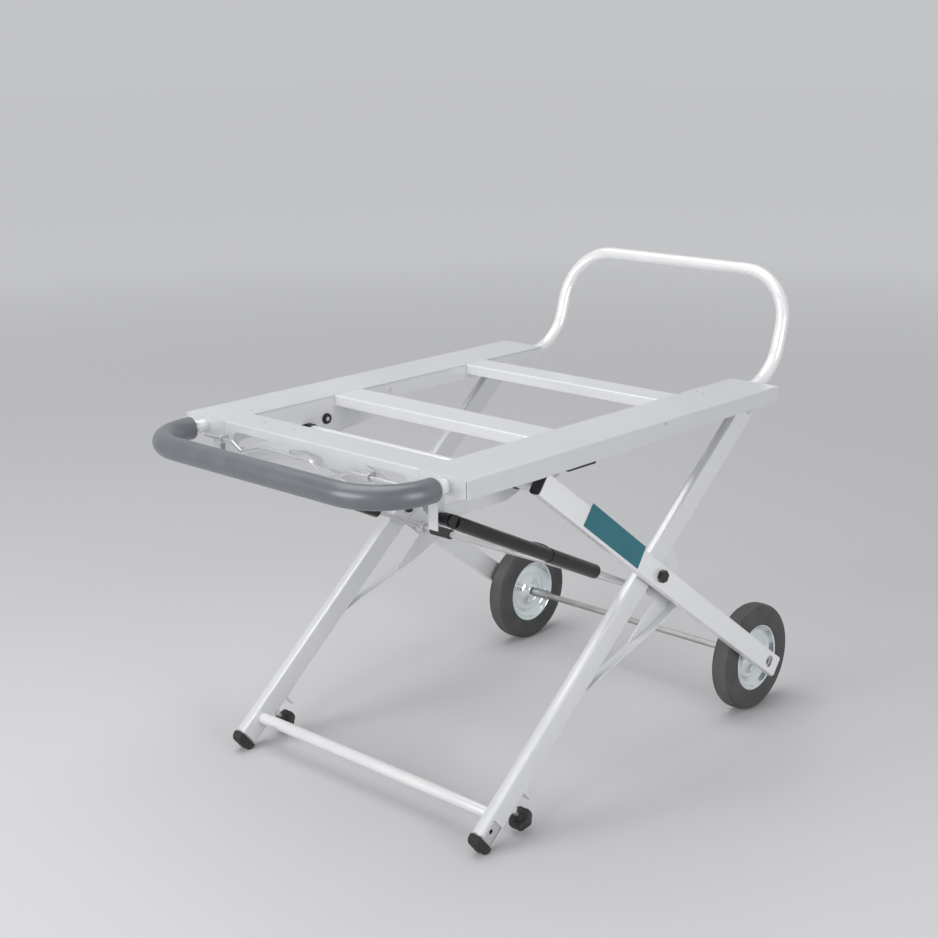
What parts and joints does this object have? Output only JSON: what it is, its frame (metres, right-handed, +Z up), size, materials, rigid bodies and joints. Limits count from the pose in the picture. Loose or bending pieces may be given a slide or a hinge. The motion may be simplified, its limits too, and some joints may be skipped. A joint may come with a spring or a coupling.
{
  "type": "folding table saw stand",
  "caption": "Folding saw stand: open sheet-steel table on a gas-assisted scissor of leg frames, with feet in front, wheels behind, a foam front grip and a tall rear handle.",
  "frame": {"origin": "on the floor under the middle of the standing stand's bounding box", "axes": "+Z up, -Y towards the foam front grip and the feet, +Y towards the wheels and the rear handle, +X to the right of someone who looks along +Y"},
  "size_m": [0.6536, 1.0878, 0.8063],
  "materials": {
    "silver_paint": "pale silver-grey powder coat, satin",
    "handle_tube": "bright silver coat on bent tube, semi-gloss",
    "zinc_steel": "zinc-plated steel, semi-bright",
    "wheel_steel": "pressed steel disc, bright silver",
    "black_steel": "black painted or oxide steel, satin",
    "black_nylon": "moulded black nylon",
    "foot_rubber": "black rubber",
    "grip_foam": "dark grey foam sleeve, fine matte skin",
    "tyre_rubber": "dark grey solid tyre, matte"
  },
  "bodies": {
    "table": {"front_member": "silver_paint", "front_cross_member": "silver_paint", "rear_cross_member": "silver_paint", "left_side_rail": "silver_paint", "right_side_rail": "silver_paint", "left_inner_plate": "silver_paint", "right_inner_plate": "silver_paint", "left_spring_bracket": "silver_paint", "right_spring_bracket": "silver_paint", "left_hinge_bracket": "silver_paint", "right_hinge_bracket": "silver_paint", "rear_handle_tube": "handle_tube", "front_handle_tube": "handle_tube", "foam_grip": "grip_foam", "left_track_pad": "black_nylon", "right_track_pad": "black_nylon", "left_hinge_bolt": "zinc_steel", "right_hinge_bolt": "zinc_steel", "left_wire_eye": "zinc_steel", "right_wire_eye": "zinc_steel", "left_latch_pin": "black_steel", "right_latch_pin": "black_steel"},
    "release": {"release_wire": "zinc_steel"},
    "left_latch": {"left_latch_hook": "zinc_steel"},
    "right_latch": {"right_latch_hook": "zinc_steel"},
    "foot_leg_frame": {"left_foot_leg": "silver_paint", "right_foot_leg": "silver_paint", "left_brace": "silver_paint", "right_brace": "silver_paint", "brace_rod": "zinc_steel", "rod_sleeve": "black_nylon", "lower_cross_tube": "silver_paint", "left_pivot_bolt": "black_steel", "right_pivot_bolt": "black_steel"},
    "left_foot": {"left_foot_slide": "zinc_steel", "left_foot_cap": "foot_rubber"},
    "right_foot": {"right_foot_slide": "zinc_steel", "right_foot_cap": "foot_rubber"},
    "left_clamp_knob": {"left_knob": "black_nylon"},
    "right_clamp_knob": {"right_knob": "black_nylon"},
    "wheel_leg_frame": {"left_wheel_leg": "silver_paint", "right_wheel_leg": "silver_paint", "left_leg_cap": "black_nylon", "right_leg_cap": "black_nylon", "top_cross_tube": "silver_paint", "left_track_sleeve": "black_nylon", "right_track_sleeve": "black_nylon", "axle": "zinc_steel", "left_wheel_spacer": "zinc_steel", "right_wheel_spacer": "zinc_steel"},
    "left_wheel": {"left_tyre": "tyre_rubber", "left_rim": "wheel_steel"},
    "right_wheel": {"right_tyre": "tyre_rubber", "right_rim": "wheel_steel"},
    "left_gas_rod": {"left_spring_rod": "zinc_steel"},
    "right_gas_rod": {"right_spring_rod": "zinc_steel"},
    "left_gas_cylinder": {"left_spring_cylinder": "black_steel", "left_spring_bolt": "zinc_steel"},
    "right_gas_cylinder": {"right_spring_cylinder": "black_steel", "right_spring_bolt": "zinc_steel"}
  },
  "joints": [
    {"name": "fold_hinge", "type": "hinge", "parent": "table", "child": "foot_leg_frame", "pos_m": [0, 0.34943, 0.5877], "axis": [-1, 0, 0], "range_deg": [0, 22], "stiffness_Nm_per_rad": 120, "springref_deg": -68.75},
    {"name": "scissor_pivot", "type": "hinge", "parent": "foot_leg_frame", "child": "wheel_leg_frame", "pos_m": [0, 0.06743, 0.356], "axis": [1, 0, 0], "range_deg": [0, 44.16]},
    {"name": "left_wheel_spin", "type": "hinge", "parent": "wheel_leg_frame", "child": "left_wheel", "pos_m": [-0.274, 0.40843, 0.1], "axis": [1, 0, 0], "continuous": true},
    {"name": "right_wheel_spin", "type": "hinge", "parent": "wheel_leg_frame", "child": "right_wheel", "pos_m": [0.274, 0.40843, 0.1], "axis": [1, 0, 0], "continuous": true},
    {"name": "left_gas_rod_hinge", "type": "hinge", "parent": "foot_leg_frame", "child": "left_gas_rod", "pos_m": [-0.256, 0.08944, 0.31598], "axis": [1, 0, 0], "range_deg": [0, 31.92]},
    {"name": "right_gas_rod_hinge", "type": "hinge", "parent": "foot_leg_frame", "child": "right_gas_rod", "pos_m": [0.256, 0.08944, 0.31598], "axis": [1, 0, 0], "range_deg": [0, 31.92]},
    {"name": "left_gas_cylinder_slide", "type": "slide", "parent": "left_gas_rod", "child": "left_gas_cylinder", "axis": [0, 0.8971, -0.4418], "range_m": [0, 0.1202]},
    {"name": "right_gas_cylinder_slide", "type": "slide", "parent": "right_gas_rod", "child": "right_gas_cylinder", "axis": [0, 0.8971, -0.4418], "range_m": [0, 0.1202]},
    {"name": "left_foot_slide_out", "type": "slide", "parent": "foot_leg_frame", "child": "left_foot", "axis": [0, -0.7726, -0.6348], "range_m": [0, 0.03]},
    {"name": "right_foot_slide_out", "type": "slide", "parent": "foot_leg_frame", "child": "right_foot", "axis": [0, -0.7726, -0.6348], "range_m": [0, 0.03]},
    {"name": "left_knob_turn", "type": "hinge", "parent": "foot_leg_frame", "child": "left_clamp_knob", "pos_m": [-0.284, -0.28371, 0.06749], "axis": [0, 0.6348, -0.7726], "range_deg": [0, 540]},
    {"name": "right_knob_turn", "type": "hinge", "parent": "foot_leg_frame", "child": "right_clamp_knob", "pos_m": [0.284, -0.28371, 0.06749], "axis": [0, 0.6348, -0.7726], "range_deg": [0, 540]},
    {"name": "release_hinge", "type": "hinge", "parent": "table", "child": "release", "pos_m": [0, -0.41057, 0.593], "axis": [1, 0, 0], "range_deg": [0, 15], "stiffness_Nm_per_rad": 1.2, "springref_deg": -28.65},
    {"name": "left_latch_hinge", "type": "hinge", "parent": "table", "child": "left_latch", "pos_m": [-0.29, -0.17689, 0.583], "axis": [-1, 0, 0], "range_deg": [0, 6]},
    {"name": "right_latch_hinge", "type": "hinge", "parent": "table", "child": "right_latch", "pos_m": [0.29, -0.17689, 0.583], "axis": [-1, 0, 0], "range_deg": [0, 6]}
  ],
  "couplings": [
    {"joint": "scissor_pivot", "follows": "fold_hinge", "ratio": 2.0068},
    {"joint": "left_gas_rod_hinge", "follows": "fold_hinge", "ratio": 1.4503},
    {"joint": "right_gas_rod_hinge", "follows": "fold_hinge", "ratio": 1.4503},
    {"joint": "left_gas_cylinder_slide", "follows": "fold_hinge", "m_per_rad": 0.31296},
    {"joint": "right_gas_cylinder_slide", "follows": "fold_hinge", "m_per_rad": 0.31296},
    {"joint": "left_latch_hinge", "follows": "release_hinge", "ratio": 0.4},
    {"joint": "right_latch_hinge", "follows": "release_hinge", "ratio": 0.4}
  ]
}
